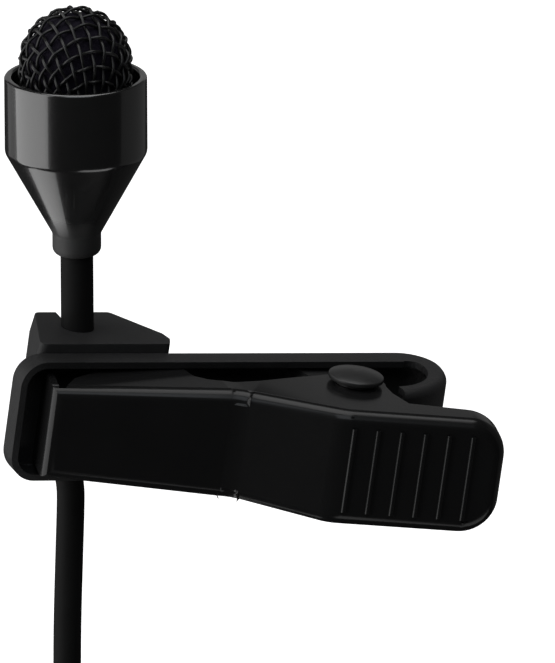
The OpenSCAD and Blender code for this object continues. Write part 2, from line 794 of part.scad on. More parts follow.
module front_jaw() {
    rib_d = 0.4;
    rib_h = pad_h - 2 * jaw_round - 0.5;
    first_rib = rib_lead - elbow_cut;
    color([0.05, 0.05, 0.06]) in_clip() {
        difference() {
            difference() {
                intersection() {
                    difference() {
                        jaw_block(0);
                        jaw_block(sheet);
                    }
                    translate([0, 0, -pad_h]) linear_extrude(2 * pad_h) edge_outline();
                }
                for (flip = [0, 1]) mirror([0, 0, flip]) corner_waste();
            }
            for (flip = [0, 1]) mirror([0, 0, flip]) long_waste();
            corner_relief();
            translate([hinge_x, hinge_y, -pad_h])
                cylinder(d = pin_d + 2 * run_gap, h = 2 * pad_h);
        }
        for (k = [0:pad_ribs - 1])
            let (p = elbow_end + (first_rib + k * rib_pitch) * way(pad_slope))
                translate([p.x, p.y, -rib_h / 2]) cylinder(d = rib_d, h = rib_h, $fn = 16);
    }
}

// ---- hinge -------------------------------------------------------------------
washer_z = ear_z + side_gap / 2;
head_z = washer_z + washer_t;
washer_d = head_d - 1;

module hinge_pin() {
    color([0.3, 0.3, 0.31]) in_clip() translate([hinge_x, hinge_y, 0]) {
        cylinder(d = pin_d, h = 2 * head_z, center = true);
        for (flip = [0, 1]) mirror([0, 0, flip]) translate([0, 0, head_z]) {
            cylinder(d = head_d, h = head_edge);
            translate([0, 0, head_edge]) intersection() {
                cylinder(d = head_d, h = head_dome);
                dome_ball = (head_d * head_d / 4 + head_dome * head_dome) / (2 * head_dome);
                translate([0, 0, head_dome - dome_ball]) sphere(r = dome_ball, $fn = 96);
            }
        }
    }
}

module pin_washers() {
    color([0.22, 0.22, 0.23]) in_clip() for (flip = [0, 1]) mirror([0, 0, flip])
        translate([hinge_x, hinge_y, washer_z]) ring_of(washer_d, pin_d, washer_t);
}

spring_r = pin_d / 2 + 0.25 + spring_wire / 2;
spring_pitch = spring_wire + 0.15;
leg_front = 8.6;    // angle at which the front leg leaves the coil
leg_rear = -5.5;    // angle at which the rear leg leaves the coil
function spring_path() =
    let (
        sweep = 360 * spring_turns + leg_rear - leg_front,
        steps = 8 * spring_turns,
        rise = spring_pitch * sweep / 360,
        inner_pad = elbow_end.y + sheet / cos(pad_slope) - (hinge_x + 2.2 - elbow_end.x) * tan(pad_slope),
        front_l = (hinge_y - inner_pad - spring_wire / 2 - 0.15) / cos(leg_front),
        rear_l = (floor_y - hinge_y - spring_wire / 2 - 0.05) / cos(leg_rear)
    )
    concat(
        [spring_r * [cos(leg_front), sin(leg_front), 0] + front_l * [sin(leg_front), -cos(leg_front), 0]
            + [0, 0, -rise / 2]],
        [for (k = [0:steps])
            let (turn = leg_front + sweep * k / steps)
                [spring_r * cos(turn), spring_r * sin(turn), rise * (k / steps - 0.5)]],
        [spring_r * [cos(leg_rear), sin(leg_rear), 0] + rear_l * [-sin(leg_rear), cos(leg_rear), 0]
            + [0, 0, rise / 2]]
    );

module jaw_spring() {
    color([0.55, 0.56, 0.58]) in_clip() translate([hinge_x, hinge_y, 0])
        tube(spring_path(), spring_wire, 6, [0, 0, 1]);
}

// ---- lead --------------------------------------------------------------------
// The lead hangs from the stem's end, runs down to the coil and leaves it for the plug.
stem_end = clip_point([holder_x, stem_y, holder_top - holder_h - stem_below]);
run_way = -clip_way([0, 0, 1]);
hang_x = -2.5;
hang_y = stem_end.y + 0.2;
coil_z = -43.5;
RUN_POINTS = [
    stem_end,
    stem_end + cable_d * run_way,
    [-2.55, hang_y, -4.7],
    [-2.2, hang_y, -6.8],
    [-2.18, hang_y, -8.6],
    [-2.3, hang_y, -12],
    [-2.5, hang_y, -18],
    [-2.55, hang_y, -24],
    [-2.5, hang_y, -31],
    [hang_x, hang_y, coil_z + cable_d]
];
TAIL_POINTS = [
    [0, 0, -cable_d],
    [0, 0, -3.2],
    [-0.7, 0, -5],
    [-1.7, 0, -6.6],
    [-2.9, 0, -8.2],
    [-3.7, 0, -10],
    [-3.9, 0, -11.6],
    [-3.9, 0, -13.6]
];

coil_turns = layers * layer_turns;
coil_out_r = coil_mid_d / 2 + layer_turns * turn_pitch / 2;
coil_rings = 24;    // rings of the tube in each turn
coil_hub = [hang_x + coil_out_r, hang_y, coil_z];

// Turn number t of the coil: the layers spiral in and out by turns, and each
// reversal climbs to the next layer within half a turn.
function coil_point(t) =
    let (
        layer = min(floor(t / layer_turns), layers - 1),
        share = t / layer_turns - layer,
        r = coil_out_r - layer_turns * turn_pitch * (layer % 2 == 0 ? share : 1 - share),
        near = round(t / layer_turns),
        past = t - near * layer_turns,
        inner = near > 0 && near < layers,
        climb = inner && abs(past) < 0.25 ? near - 0.5 + 2 * past : layer,
        a = 180 + 360 * t
    )
    coil_hub + [r * cos(a), -turn_pitch * climb, r * sin(a)];

coil_path = concat(
    [coil_point(0) + [0, 0, cable_d]],
    [for (k = [0:coil_turns * coil_rings]) coil_point(k / coil_rings)],
    [coil_point(coil_turns) + [0, 0, -cable_d]]
);

function coil_gaps() = [
    for (i = [0:len(coil_path) - 1], j = [i + coil_rings / 2:1:len(coil_path) - 1])
        norm(coil_path[i] - coil_path[j])
];

module cable_run() {
    color([0.08, 0.08, 0.09]) tube(RUN_POINTS, cable_d, 8, [0, 1, 0]);
}

module cable_coil() {
    echo(least_gap_of_the_coil = min(coil_gaps()) - cable_d);
    echo(length_of_the_coil = path_length(coil_path));
    color([0.08, 0.08, 0.09]) tube(coil_path, cable_d, 6, [0, 1, 0]);
}

function path_length(pts) = let (
    steps = [for (i = [1:len(pts) - 1]) norm(pts[i] - pts[i - 1])]
) steps * [for (s = steps) 1];

tail_start = coil_point(coil_turns);
module cable_tail() {
    color([0.08, 0.08, 0.09])
        tube([for (p = TAIL_POINTS) tail_start + p], cable_d, 8, [0, 1, 0]);
}

// A strap round all turns at the foot of the coil.
tie_angle = 270;
tie_gap = 0.03;
module cable_tie() {
    inside_r = coil_mid_d / 2 - (layer_turns - 0.5) * turn_pitch / 2 - cable_d / 2 - 0.65;
    outside_r = coil_out_r - 0.25 * turn_pitch + cable_d / 2 + tie_gap;
    deep = (layers - 1) * turn_pitch + cable_d;
    round_r = cable_d / 2 - 0.05;
    color([0.1, 0.1, 0.1]) translate(coil_hub - [0, deep / 2 - cable_d / 2, 0])
        rotate([0, -tie_angle, 0])
            translate([(inside_r + outside_r) / 2, 0, 0])
                linear_extrude(tie_w, center = true) difference() {
                    strap_outline(outside_r - inside_r + 2 * tie_t, deep + 2 * tie_t, round_r + tie_t);
                    strap_outline(outside_r - inside_r, deep + 2 * tie_gap, round_r);
                }
}

module strap_outline(w, h, r) {
    square([w - 2 * r, h], center = true);
    square([w, h - 2 * r], center = true);
    for (x = [-1, 1], y = [-1, 1]) translate([x * (w / 2 - r), y * (h / 2 - r)]) circle(r = r, $fn = 32);
}

// ---- plug --------------------------------------------------------------------
// The plug hangs mouth down under the tail. Its own frame has the mouth at zero.
plug_l = barrel_l + collar_l + shell_l + relief_l;
plug_top = tail_start + TAIL_POINTS[len(TAIL_POINTS) - 1];
module in_plug(z = 0) {
    translate(plug_top - [0, 0, plug_l - z]) children();
}

barrel_r = barrel_d / 2;
insert_r = barrel_r - barrel_t;
barrel_step = 0.3;                      // the barrel's shoulder at the collar
barrel_neck = 0.3;                      // its narrow part starts this far in front
seat_gap = 0.01;                        // and the gap round its inner end
insert_lip = 0.5;                       // the insert sits this far inside the mouth
key_w = 1.7;                            // width of the latch's slot
tongue_w = key_w - 2 * side_gap;
tongue_t = 0.55;
tongue_out = insert_r;                  // the tongue's outer face at rest
tongue_in = tongue_out - tongue_t;
hook_l = 1.2;
hook_start = 2.2;
hook_out = 0.12;                        // the hook stands this far out of the barrel
button_z = barrel_l + barrel_in + button_d / 2 + 0.35;
button_out = 0.8;                       // the button stands this far out of the collar
wall_in = insert_r + 0.35;              // hollow of the collar and backshell
insert_back = button_z - button_d / 2 - 0.15;
slot_in = tongue_in - button_travel - 0.15;

module plug_relief() {
    color([0.08, 0.08, 0.09]) in_plug(barrel_l + collar_l + shell_l)
        cylinder(d1 = relief_d, d2 = relief_end_d, h = relief_l);
}

module plug_backshell() {
    grip_w = 2.1;
    grip_deep = 0.5;
    floor_t = 3;
    color([0.07, 0.07, 0.08]) in_plug(barrel_l + collar_l) difference() {
        union() {
            cylinder(d = shell_d, h = 1.6);
            translate([0, 0, 1.6]) cylinder(d1 = shell_d, d2 = shell_rear_d, h = shell_l - 1.6);
        }
        translate([0, 0, -eps]) cylinder(r = wall_in, h = shell_l - floor_t);
        for (k = [0:shell_grips - 1]) rotate([0, 0, 360 * k / shell_grips])
            translate([shell_d / 2 - grip_deep, -grip_w / 2, 3]) cube([2, grip_w, shell_l - 7]);
    }
}

module plug_collar() {
    color([0.72, 0.73, 0.75]) in_plug(barrel_l) difference() {
        cylinder(d = collar_d, h = collar_l);
        translate([0, 0, -eps])
            cylinder(d = barrel_d - 2 * barrel_step + 2 * seat_gap, h = barrel_in + 2 * eps);
        translate([0, 0, barrel_in]) cylinder(r = wall_in, h = collar_l);
        translate([0, 0, button_z - barrel_l]) rotate([0, -90, 0])
            cylinder(d = button_d + 2 * side_gap, h = collar_d);
    }
}

module plug_barrel() {
    color([0.78, 0.79, 0.8]) in_plug() difference() {
        union() {
            ring_of(barrel_d, 2 * insert_r, barrel_l - barrel_neck);
            translate([0, 0, barrel_l - barrel_neck])
                ring_of(barrel_d - 2 * barrel_step, 2 * insert_r, barrel_in + barrel_neck);
        }
        translate([-barrel_d, -key_w / 2, -eps])
            cube([barrel_d, key_w, barrel_l + barrel_in + 2 * eps]);
    }
}

contact_spots = [[0, 0], contact_ring * [0, 1], contact_ring * [1, 0], contact_ring * [0, -1]];

module plug_insert() {
    color([0.15, 0.15, 0.16]) in_plug(insert_lip) difference() {
        cylinder(r = insert_r, h = insert_back - insert_lip);
        for (p = contact_spots) translate([p.x, p.y, -eps])
            cylinder(d = contact_d, h = insert_back, $fn = 32);
        translate([-insert_r - eps, -key_w / 2, -eps])
            cube([insert_r - slot_in + eps, key_w, insert_back]);
    }
}

module plug_contacts() {
    contact_lip = 0.3;
    contact_tail = 2.5;
    color([0.85, 0.68, 0.3]) in_plug(insert_lip + contact_lip) for (p = contact_spots)
        translate([p.x, p.y, 0]) difference() {
            cylinder(d = contact_d, h = insert_back - insert_lip - contact_lip + contact_tail, $fn = 32);
            translate([0, 0, -eps]) cylinder(d = contact_d - 0.45, h = 6, $fn = 32);
        }
}

module plug_latch() {
    tongue_l = button_z + button_d / 2 - hook_start;
    color([0.1, 0.1, 0.11]) in_plug() {
        translate([-tongue_out, -tongue_w / 2, hook_start]) cube([tongue_t, tongue_w, tongue_l]);
        translate([0, tongue_w / 2, hook_start]) rotate([90, 0, 0]) linear_extrude(tongue_w) polygon([
            [-tongue_out + eps, 0],
            [-barrel_r - hook_out, hook_l * 0.7],
            [-barrel_r - hook_out, hook_l],
            [-tongue_out + eps, hook_l]
        ]);
        translate([-tongue_out + tongue_t / 2, 0, button_z]) rotate([0, -90, 0])
            cylinder(d = button_d, h = collar_d / 2 + button_out - tongue_out + tongue_t / 2);
    }
}

module latch_spring() {
    leaf_t = 0.2;
    color([0.6, 0.6, 0.62]) in_plug() translate([0, key_w / 2 - 0.3, 0]) rotate([90, 0, 0])
        linear_extrude(key_w - 0.6) polygon([
            [-slot_in, insert_back],
            [-slot_in, insert_back + 0.8],
            [-tongue_in, insert_back + 1.9],
            [-tongue_in, insert_back + 2.2],
            [-slot_in + leaf_t, insert_back + 1],
            [-slot_in + leaf_t, insert_back]
        ]);
}

// ---- pieces ------------------------------------------------------------------
mesh_dome();
foam_liner();
grille_ring();
housing_cup();
capsule_sleeve();
capsule_can();
dust_cloth();
diaphragm_ring();
diaphragm();
spacer_ring();
back_plate();
plate_holder();
gate_ring();
capsule_board();
fet_chip();
lead_wires();
stem();
holder_lead();
cable_holder();
holder_rivet();
rear_jaw();
front_jaw();
hinge_pin();
pin_washers();
jaw_spring();
cable_run();
cable_coil();
cable_tail();
cable_tie();
plug_relief();
plug_backshell();
plug_collar();
plug_barrel();
plug_insert();
plug_contacts();
plug_latch();
latch_spring();
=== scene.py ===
# %% [markdown]
# # A clip-on microphone, dressed piece by piece
# The microphone was drawn as solid parts first. This script loads those parts as a
# fixed frame and gives each one the surface of the real thing: woven wire, sprayed metal, rubber
# and nickel. The scene is in metres, and sizes are typed in millimetres times `MM`. +Z runs up
# the microphone's axis and +Y points to the back of the clip.

# %% Load the frame
import json
import math

import bmesh
import bpy
from mathutils import Matrix, Vector


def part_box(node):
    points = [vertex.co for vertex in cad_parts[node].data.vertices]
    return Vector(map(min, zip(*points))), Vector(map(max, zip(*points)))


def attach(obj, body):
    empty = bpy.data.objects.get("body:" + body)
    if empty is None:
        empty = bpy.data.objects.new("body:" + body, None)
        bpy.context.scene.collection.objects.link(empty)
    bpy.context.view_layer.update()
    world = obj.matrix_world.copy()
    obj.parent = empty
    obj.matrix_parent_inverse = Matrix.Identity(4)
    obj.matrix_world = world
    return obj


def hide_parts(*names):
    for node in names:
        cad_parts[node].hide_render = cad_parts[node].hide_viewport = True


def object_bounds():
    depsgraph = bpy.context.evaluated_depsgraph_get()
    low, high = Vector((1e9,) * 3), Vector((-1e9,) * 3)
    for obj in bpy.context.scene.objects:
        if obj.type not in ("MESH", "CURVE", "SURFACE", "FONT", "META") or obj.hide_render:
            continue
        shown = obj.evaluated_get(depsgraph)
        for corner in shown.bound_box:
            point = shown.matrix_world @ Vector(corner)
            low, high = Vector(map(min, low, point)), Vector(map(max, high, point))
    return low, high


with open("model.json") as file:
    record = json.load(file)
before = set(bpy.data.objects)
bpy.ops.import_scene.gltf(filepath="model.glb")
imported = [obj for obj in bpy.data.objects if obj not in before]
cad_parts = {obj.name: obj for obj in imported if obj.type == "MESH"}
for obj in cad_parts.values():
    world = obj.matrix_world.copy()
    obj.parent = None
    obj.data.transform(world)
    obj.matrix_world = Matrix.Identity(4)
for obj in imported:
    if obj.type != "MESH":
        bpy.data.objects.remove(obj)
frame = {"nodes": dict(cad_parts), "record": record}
nodes = frame["nodes"]
CAD_BOX = [list(corner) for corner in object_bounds()]
MM = 0.001
print("parts loaded:", len(nodes))


def added(name, data):
    """A new object with this data, in the scene."""
    piece = bpy.data.objects.new(name, data)
    bpy.context.scene.collection.objects.link(piece)
    return piece


# %% [markdown]
# ## The camera
# A small clip keeps its true proportions when it is seen through a long lens from far away. The
# camera stands 0.9 m off, to the left of the front and above, with hardly any roll. A Track To
# constraint could aim it, but with its three axes worked out here, the roll and the point that
# it looks at are plain numbers.

# %% Camera
AZIMUTH, ELEVATION, ROLL = 21.25, 17.70, -0.108  # degrees: to the left, above, about the view
LENS_PIXELS, FRAME_W, FRAME_H = 12100.0, 555, 663  # focal length and picture size, in pixels
SENSOR_MM = 36
AIM = (11.88, 6.00)  # what the lens points at, in mm along the view's right and up
DISTANCE = 900.0  # in mm
NEAREST, FARTHEST = 0.05, 20  # what the camera can see, in metres


def view_axes(azimuth, elevation, roll):
    """The camera's right, up and back directions."""
    a, e, r = (math.radians(x) for x in (azimuth, elevation, roll))
    back = Vector((-math.sin(a) * math.cos(e), -math.cos(a) * math.cos(e), math.sin(e)))
    right = Vector((math.cos(a), -math.sin(a), 0))
    up = back.cross(right)
    return right * math.cos(r) + up * math.sin(r), up * math.cos(r) - right * math.sin(r), back


right, up, back = view_axes(AZIMUTH, ELEVATION, ROLL)
camera = added("camera", bpy.data.cameras.new("camera"))
stand = Matrix.Translation((right * AIM[0] + up * AIM[1] + back * DISTANCE) * MM)
camera.matrix_world = stand @ Matrix((right, up, back)).transposed().to_4x4()
camera.data.sensor_width = SENSOR_MM
camera.data.lens = LENS_PIXELS / max(FRAME_W, FRAME_H) * SENSOR_MM
camera.data.clip_start, camera.data.clip_end = NEAREST, FARTHEST
bpy.context.scene.camera = camera
print("lens:", round(camera.data.lens), "mm")

# %% [markdown]
# ## Maths on sockets
# Shader and Geometry Nodes maths reads best as plain expressions. `Sock` wraps one output socket:
# `a * 2 + b` adds the Math nodes that compute it. `Tree.node` adds any other node, sets its
# settings first and then feeds its inputs.


# %% Sockets that do arithmetic
class Sock:
    """One output socket of a node tree, usable in Python arithmetic."""

    def __init__(self, tree, socket):
        self.tree, self.socket = tree, socket

    def _math(self, operation, *operands):
        node = self.tree.nodes.new("ShaderNodeMath")
        node.operation = operation
        for slot, value in zip(node.inputs, operands):
            feed(value, slot)
        return Sock(self.tree, node.outputs[0])

    def __add__(self, other):
        return self._math("ADD", self, other)

    __radd__ = __add__

    def __mul__(self, other):
        return self._math("MULTIPLY", self, other)

    __rmul__ = __mul__

    def __sub__(self, other):
        return self._math("SUBTRACT", self, other)

    def __rsub__(self, other):
        return self._math("SUBTRACT", other, self)

    def __truediv__(self, other):
        return self._math("DIVIDE", self, other)

    def sin(self):
        return self._math("SINE", self)

    def cos(self):
        return self._math("COSINE", self)

    def sqrt(self):
        return self._math("SQRT", self)

    def min(self, other):
        return self._math("MINIMUM", self, other)

    def max(self, other):
        return self._math("MAXIMUM", self, other)


def feed(value, slot):
    """Links a Sock to an input, or sets the input to a plain value."""
    if isinstance(value, Sock):
        value.tree.links.new(value.socket, slot)
    else:
        slot.default_value = value


class Tree:
    """A node tree that is built in plain steps."""

    def __init__(self, tree):
        self.tree = tree

    def node(self, kind, out=0, settings=None, **inputs):
        """Adds a node. An input goes by its name, or as in0, in1 ... where names repeat."""
        node = self.tree.nodes.new(kind)
        for name, value in (settings or {}).items():
            setattr(node, name, value)
        for name, value in inputs.items():
            feed(value, node.inputs[int(name[2:]) if name.startswith("in") else name])
        return Sock(self.tree, node.outputs[out])


# %% [markdown]
# ## Finishes
# Paint, rubber, plastic and metal differ in how coarse and deep their grain is, how rough they are
# and how much they mirror. So one function makes every finish: a Principled BSDF with a fine noise
# bump, whose gloss and shade wander a little from patch to patch. Pictures could be wrapped round
# the parts instead, but noise that reads Object coordinates has no seams and stays put when the
# part moves.

# %% One function for every finish
OBJECT_OUT, MIX_COLOUR_OUT = 3, 2  # outputs of the Texture Coordinate node and of the Mix node
COAT_ROUGHNESS = 0.06
BUMP_STRENGTH = 0.6
GRAIN_DETAIL = 2.0
PATCH_LUMPS = 9  # a patch of even gloss is this many lumps of the bump across
SHADES = (0.85, 1.15)  # the darkest and the lightest patch, as shares of the colour
FINISHES = {}


def finish(name, colour, roughness, specular=0.5, metallic=0.0, coat=0.0):
    """A material with one Principled shader. Returns the material and its shader."""
    made = bpy.data.materials.new(name)
    made.use_nodes = True
    made.diffuse_color = (*colour, 1)
    shader = made.node_tree.nodes["Principled BSDF"]
    shader.inputs["Base Color"].default_value = (*colour, 1)
    shader.inputs["Roughness"].default_value = roughness
    shader.inputs["Specular IOR Level"].default_value = specular
    shader.inputs["Metallic"].default_value = metallic
    shader.inputs["Coat Weight"].default_value = coat
    shader.inputs["Coat Roughness"].default_value = COAT_ROUGHNESS
    return made, shader


def grain(tree, size_mm):
    """Noise whose lumps are about size_mm across, from 0 to 1."""
    place = tree.node("ShaderNodeTexCoord", out=OBJECT_OUT)
    scale = 1 / (size_mm * MM)
    return tree.node("ShaderNodeTexNoise", Vector=place, Scale=scale, Detail=GRAIN_DETAIL)


def painted(
    name, colour, roughness, lump_mm, depth_mm,
    specular=0.5, uneven=0.12, metallic=0.0, coat=0.0,
):
    """Adds a finish with a fine bump, and with gloss and shade that wander a little."""
    made, shader = finish(name, colour, roughness, specular, metallic, coat)
    tree = Tree(made.node_tree)
    lumps = grain(tree, lump_mm)
    bump = tree.node("ShaderNodeBump", Height=lumps, Strength=BUMP_STRENGTH, Distance=depth_mm * MM)
    feed(bump, shader.inputs["Normal"])
    patches = grain(tree, PATCH_LUMPS * lump_mm)
    feed(roughness + uneven * (patches - 0.5), shader.inputs["Roughness"])
    dark, light = (tuple(c * share for c in colour) + (1,) for share in SHADES)
    by_colour = {"data_type": "RGBA"}
    shade = tree.node(
        "ShaderNodeMix", out=MIX_COLOUR_OUT, settings=by_colour, in0=patches, in6=dark, in7=light
    )
    feed(shade, shader.inputs["Base Color"])
    FINISHES[name] = made


# %% [markdown]
# ## Finishes of the head, the clip and the lead
# The cup is sprayed a smooth gloss black. The wires over it have a thinner, duller coat, with dark
# foam behind them. The rear jaw has a fine matt texture, the front jaw a plain gloss, and the
# pin is satin. The holder and the lead are matt rubber.

# %% Finishes of the head, the clip and the lead
CUP_ROUGHNESS, CUP_UNEVEN = 0.2, 0.04
painted(
    "cup_paint", (0.009, 0.009, 0.009), CUP_ROUGHNESS, 0.12, 0.003,
    specular=1.0, uneven=CUP_UNEVEN, coat=1.0,
)
painted("mesh_paint", (0.012, 0.012, 0.012), 0.32, 0.05, 0.004)
painted("foam", (0.008, 0.006, 0.013), 0.9, 0.22, 0.12, specular=0.2)
painted("jaw_texture", (0.016, 0.016, 0.0165), 0.5, 0.13, 0.05)
painted("jaw_gloss", (0.011, 0.011, 0.0112), 0.2, 0.5, 0.002, specular=0.34, uneven=0.04)
painted("pin_metal", (0.028, 0.028, 0.028), 0.36, 0.1, 0.006)
painted("spring_steel", (0.55, 0.55, 0.57), 0.3, 0.1, 0.002, metallic=1.0)
painted("holder_rubber", (0.032, 0.032, 0.0325), 0.62, 0.14, 0.012, specular=0.25)
painted("cable_jacket", (0.013, 0.013, 0.013), 0.65, 0.2, 0.004, specular=0.08)
print("finishes so far:", ", ".join(FINISHES))

# %% [markdown]
# ## Finishes of the plug and the tie
# The plug's collar and barrel are bright nickel, and rubber is moulded over its back. The contacts
# are gilt, so that they don't corrode, and sit in dark plastic. The tie is a hook-and-loop strap.

# %% Finishes of the plug and the tie
painted("nickel", (0.56, 0.56, 0.58), 0.16, 0.15, 0.001, metallic=1.0)
painted("plug_rubber", (0.018, 0.018, 0.019), 0.55, 0.15, 0.015, specular=0.3)
painted("insert_plastic", (0.035, 0.035, 0.038), 0.5, 0.1, 0.004)
painted("gold", (0.83, 0.62, 0.25), 0.2, 0.1, 0.001, metallic=1.0)
painted("latch_black", (0.016, 0.016, 0.016), 0.4, 0.1, 0.003)
painted("strap", (0.016, 0.016, 0.017), 0.85, 0.1, 0.05, specular=0.2)
print("finishes so far:", len(FINISHES))

# %% [markdown]
# ## Finishes inside the head
# These are seen only when the head is taken apart: the capsule's metal can, the metallised film
# that the sound moves, the pale rings that hold it, the board with its chip, and the wires.

# %% Finishes inside the head
painted("capsule_metal", (0.75, 0.76, 0.78), 0.3, 0.1, 0.002, metallic=1.0)
painted("film", (0.8, 0.7, 0.42), 0.2, 0.1, 0.001, metallic=0.8)
painted("pale_plastic", (0.8, 0.8, 0.76), 0.5, 0.1, 0.003)
painted("board", (0.03, 0.16, 0.06), 0.35, 0.1, 0.003)
painted("chip", (0.02, 0.02, 0.02), 0.5, 0.08, 0.004)
painted("wire_skin", (0.5, 0.05, 0.03), 0.35, 0.1, 0.002)
painted("cloth", (0.012, 0.012, 0.012), 0.9, 0.05, 0.02, specular=0.2)

SLOT_OF = {s["node"]: s["material_slot"] for s in frame["record"]["subparts"]}
for name, part in nodes.items():
    part.data.materials.clear()
    part.data.materials.append(FINISHES[SLOT_OF[name]])
print("finishes:", len(FINISHES))

# %% [markdown]
# ## The lead
# The lead is one limp cable, 1.2 m long. It hangs from the holder, winds into a tied coil below
# and ends at the plug. It could be a tube of many faces, but a curve with a round bevel is the
# simplest true model of it: its own line is the cable's centre line, so its length can be
# measured. The points are those of the solid lead, in millimetres.

# %% Lead
CABLE_D = 2.1
STEM_END = (-2.55262, 4.19407, -0.745676)  # where the lead leaves the holder
CLIP_PITCH, CLIP_ROLL = math.radians(4.5), math.radians(6.6)
EXIT_WAY = -Vector((
    math.cos(CLIP_PITCH) * math.sin(CLIP_ROLL),
    -math.sin(CLIP_PITCH),
    math.cos(CLIP_PITCH) * math.cos(CLIP_ROLL),
))
HANG_X, HANG_Y, COIL_Z = -2.5, STEM_END[1] + 0.2, -43.5
RUN_POINTS = [
    STEM_END,
    tuple(Vector(STEM_END) + CABLE_D * EXIT_WAY),
    (-2.55, HANG_Y, -4.7), (-2.2, HANG_Y, -6.8), (-2.18, HANG_Y, -8.6), (-2.3, HANG_Y, -12),
    (-2.5, HANG_Y, -18), (-2.55, HANG_Y, -24), (-2.5, HANG_Y, -31),
    (HANG_X, HANG_Y, COIL_Z + CABLE_D),
]
TAIL_STEPS = [  # from the coil's end to the plug
    (0, 0, -CABLE_D), (0, 0, -3.2), (-0.7, 0, -5), (-1.7, 0, -6.6), (-2.9, 0, -8.2),
    (-3.7, 0, -10), (-3.9, 0, -11.6), (-3.9, 0, -13.6),
]
LAYERS, LAYER_TURNS, TURN_PITCH, COIL_MID_D = 4, 4, 2.55, 22.8
COIL_OUT_R = COIL_MID_D / 2 + LAYER_TURNS * TURN_PITCH / 2
CLIMB_TURNS = 0.25  # the climb to the next layer starts and ends this many turns from the change
STEPS_A_POINT, STEPS_A_TURN = 4, 36  # how finely the line is drawn
BEVEL_STEPS = 5  # how round it is


def coil_point(turn):
    """A point of the coil after that many turns: layers spiral in and out by turns."""
    layer = min(int(turn // LAYER_TURNS), LAYERS - 1)
    share = turn / LAYER_TURNS - layer
    radius = COIL_OUT_R - LAYER_TURNS * TURN_PITCH * (share if layer % 2 == 0 else 1 - share)
    change = round(turn / LAYER_TURNS)
    past = turn - change * LAYER_TURNS
    climb = layer
    if 0 < change < LAYERS and abs(past) < CLIMB_TURNS:
        climb = change - 0.5 + past / (2 * CLIMB_TURNS)
    angle = math.pi + 2 * math.pi * turn
    return Vector((
        HANG_X + COIL_OUT_R + radius * math.cos(angle),
        HANG_Y - TURN_PITCH * climb,
        COIL_Z + radius * math.sin(angle),
    ))


def smooth_line(points):
    """A Catmull-Rom line through the points."""
    line = []
    for k in range(len(points) - 1):
        p = [Vector(points[min(max(k + j, 0), len(points) - 1)]) for j in (-1, 0, 1, 2)]
        for step in range(STEPS_A_POINT):
            t = step / STEPS_A_POINT
            line.append(0.5 * (
                2 * p[1] + (p[2] - p[0]) * t + (2 * p[0] - 5 * p[1] + 4 * p[2] - p[3]) * t * t
                + (3 * p[1] - p[0] - 3 * p[2] + p[3]) * t**3
            ))
    return line + [Vector(points[-1])]


TURNS = LAYERS * LAYER_TURNS
coil_end = coil_point(TURNS)
lead_line = (
    smooth_line(RUN_POINTS)
    + [coil_point(k / STEPS_A_TURN) for k in range(TURNS * STEPS_A_TURN + 1)]
    + smooth_line([coil_end + Vector(step) for step in TAIL_STEPS])
)
curve = bpy.data.curves.new("lead", "CURVE")
curve.dimensions = "3D"
curve.bevel_depth = CABLE_D / 2 * MM
curve.bevel_resolution = BEVEL_STEPS
curve.use_fill_caps = True
spline = curve.splines.new("POLY")
spline.points.add(len(lead_line) - 1)
for point, place in zip(spline.points, lead_line):
    point.co = (*(place * MM), 1)
spline.use_smooth = True
curve.materials.append(FINISHES["cable_jacket"])
lead = added("lead", curve)
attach(lead, "rear")
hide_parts("cable_run", "cable_coil", "cable_tail")
print("lead:", round(sum((b - a).length for a, b in zip(lead_line, lead_line[1:]))), "mm")

# %% [markdown]
# ## The cup
# The cup is turned on a lathe, so it is one outline swept round its axis: a rounded lip, a
# straight side, a cone with softened corners and a neck that runs into the stem. A Screw modifier
# on a curve would sweep it too. The loop is used because each corner's rounding is then a plain
# number. The sizes are those of the solid cup, with the roundings added.

# %% Turned cup
CUP_H, CONE_H, NECK_H, NECK_D = 5.8, 6.3, 1.7, 3.64
BORE_D, SHELF_Z, STEM_R = 9.5, -3.4, 1.225
LIP_INSIDE, LIP_OUTSIDE, SHOULDER, CONE_FOOT, NECK_FOOT = 0.16, 0.2, 0.9, 0.5, 0.6  # roundings
AROUND, ARC_STEPS = 160, 6  # faces round the cup, and steps in each rounding
CUP_SHARP_DEG = 35
BODY_OF = {n: b for b, members in frame["record"]["behaviour"]["bodies"].items() for n in members}
cup_low, cup_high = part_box("housing_cup")
cup_axis = (Vector(cup_low) + Vector(cup_high)) / 2
cup_axis.z = cup_high[2]
CUP_R = (cup_high[0] - cup_low[0]) / 2 / MM


def shaded(mesh, name, node, sharp_deg=None):
    """Makes a bmesh into smooth-shaded mesh data, with edges over sharp_deg kept sharp."""
    data = bpy.data.meshes.new(name)
    mesh.to_mesh(data)
    mesh.free()
    data.materials.append(FINISHES[SLOT_OF[node]])
    for polygon in data.polygons:
        polygon.use_smooth = True
    if sharp_deg:
        data.set_sharp_from_angle(angle=math.radians(sharp_deg))
    return data


def rounded(corners):
    """An outline of (radius, height, rounding) corners as points, each corner an arc."""
    points = []
    for k, (r, z, radius) in enumerate(corners):
        here = Vector((r, z))
        if not radius:
            points.append(here)
            continue
        before = (Vector(corners[k - 1][:2]) - here).normalized()
        after = (Vector(corners[k + 1][:2]) - here).normalized()
        half = before.angle(after) / 2
        centre = here + (before + after).normalized() * radius / math.sin(half)
        start = here + before * radius / math.tan(half) - centre
        end = here + after * radius / math.tan(half) - centre
        for step in range(ARC_STEPS + 1):
            points.append(centre + start.slerp(end, step / ARC_STEPS) * radius)
    return points


